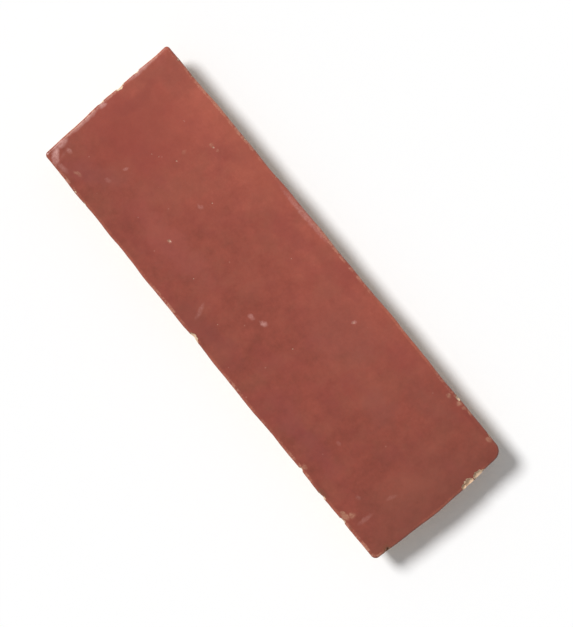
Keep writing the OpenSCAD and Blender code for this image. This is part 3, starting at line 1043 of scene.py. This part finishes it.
def make_tile():
    co, quads, top, bottom, masks = build_tile()
    mesh = bpy.data.meshes.new("glazed_tile")
    faces = quads.tolist() + top.tolist() + bottom.tolist()
    mesh.from_pydata((fitted(co) * MM).tolist(), [], faces)
    for name, values in masks.items():
        mesh.attributes.new(name, "FLOAT", "POINT").data.foreach_set("value", values.astype(np.float32))
    mesh.materials.append(glaze_material())
    mesh.materials.append(clay_material())
    slots = np.full(len(faces), GLAZE_SLOT)
    slots[:len(quads)][masks["glaze"][quads].max(1) < -CLAY_FROM] = CLAY_SLOT
    slots[len(quads) + len(top):] = CLAY_SLOT
    mesh.polygons.foreach_set("material_index", slots.astype(np.int32))
    mesh.polygons.foreach_set("use_smooth", np.ones(len(faces), bool))
    mesh.set_sharp_from_angle(angle=SHARP_ANGLE)
    mesh.update()
    tile = bpy.data.objects.new("glazed_tile", mesh)
    bpy.context.scene.collection.objects.link(tile)
    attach(tile, "root")
    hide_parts(TILE)


# ---------------------------------------------------------------- floor, lights, camera
FLOOR_HALF = 1.5
FLOOR_BOUNCE = 0.8

# The key and the fill together light a level surface at 1, where a colour shows as written.
# The key stands to the upper left of the picture.
FILL = 0.32
KEY_HEIGHT = math.radians(50)
KEY_SPREAD = math.radians(18)
KEY_SIDE = (-0.87, 0.49)

# The camera looks straight down, turned so that the tile lies as in the layout.
PICTURE_TURN = math.radians(50.67)
LENS, SENSOR_W = 135, 36
CAMERA_HEIGHT = 0.69
CAMERA_SIDE = (0.004, -0.003)


def seen_ray(tree):
    """1 for the rays that show the background, straight on or in gloss, and 0 for the rest."""
    path = tree.nodes.new("ShaderNodeLightPath")
    seen = path.outputs["Is Camera Ray"]
    for name in ("Is Glossy Ray", "Is Transmission Ray"):
        either = tree.nodes.new("ShaderNodeMath")
        either.operation = "MAXIMUM"
        tree.links.new(seen, either.inputs[0])
        tree.links.new(path.outputs[name], either.inputs[1])
        seen = either.outputs[0]
    return seen


def make_floor():
    """A white floor that keeps the tile's shadow. It bounces a little less than it shows."""
    s = Shader("pale_floor")
    colour = s.blend(seen_ray(s.tree), (FLOOR_BOUNCE,) * 3 + (1,), WHITE)
    diffuse = s.add("ShaderNodeBsdfDiffuse", {"Color": colour})
    s.add("ShaderNodeOutputMaterial", {"Surface": diffuse.outputs[0]})
    mesh = bpy.data.meshes.new("floor")
    corners = [(x * FLOOR_HALF, y * FLOOR_HALF, 0) for x, y in ((-1, -1), (1, -1), (1, 1), (-1, 1))]
    mesh.from_pydata(corners, [], [(0, 1, 2, 3)])
    mesh.materials.append(s.material)
    floor = bpy.data.objects.new("floor", mesh)
    bpy.context.scene.collection.objects.link(floor)


def make_world():
    """White where the background is seen, and a plain fill light on all the rest."""
    world = bpy.data.worlds.new("studio")
    bpy.context.scene.world = world
    world.use_nodes = True
    tree = world.node_tree
    tree.nodes.clear()
    fill = tree.nodes.new("ShaderNodeBackground")
    fill.inputs["Color"].default_value = WHITE
    fill.inputs["Strength"].default_value = FILL
    white = tree.nodes.new("ShaderNodeBackground")
    white.inputs["Color"].default_value = WHITE
    pick = tree.nodes.new("ShaderNodeMixShader")
    out = tree.nodes.new("ShaderNodeOutputWorld")
    tree.links.new(seen_ray(tree), pick.inputs[0])
    tree.links.new(fill.outputs[0], pick.inputs[1])
    tree.links.new(white.outputs[0], pick.inputs[2])
    tree.links.new(pick.outputs[0], out.inputs[0])


def picture_way(right, up):
    """A direction on the floor, given as right and up in the camera's picture."""
    c, s = math.cos(PICTURE_TURN), math.sin(PICTURE_TURN)
    return Vector((right * c - up * s, right * s + up * c, 0))


def make_key():
    """One soft sun."""
    sun = bpy.data.lights.new("key", "SUN")
    sun.angle = KEY_SPREAD
    sun.energy = (1 - FILL) * math.pi / math.sin(KEY_HEIGHT)
    key = bpy.data.objects.new("key", sun)
    bpy.context.scene.collection.objects.link(key)
    way = picture_way(*KEY_SIDE).normalized() * math.cos(KEY_HEIGHT)
    way.z = math.sin(KEY_HEIGHT)
    key.rotation_euler = way.to_track_quat("Z", "Y").to_euler()


def make_camera():
    data = bpy.data.cameras.new("camera")
    data.lens = LENS
    data.sensor_width = SENSOR_W
    camera = bpy.data.objects.new("camera", data)
    bpy.context.scene.collection.objects.link(camera)
    middle = (cad_low + cad_high) / 2
    camera.location = middle + Vector((0, 0, CAMERA_HEIGHT)) + picture_way(*CAMERA_SIDE)
    camera.rotation_euler = (0, 0, PICTURE_TURN)
    bpy.context.scene.camera = camera


make_tile()
make_floor()
make_world()
make_key()
make_camera()
bpy.context.scene.view_settings.view_transform = "Standard"
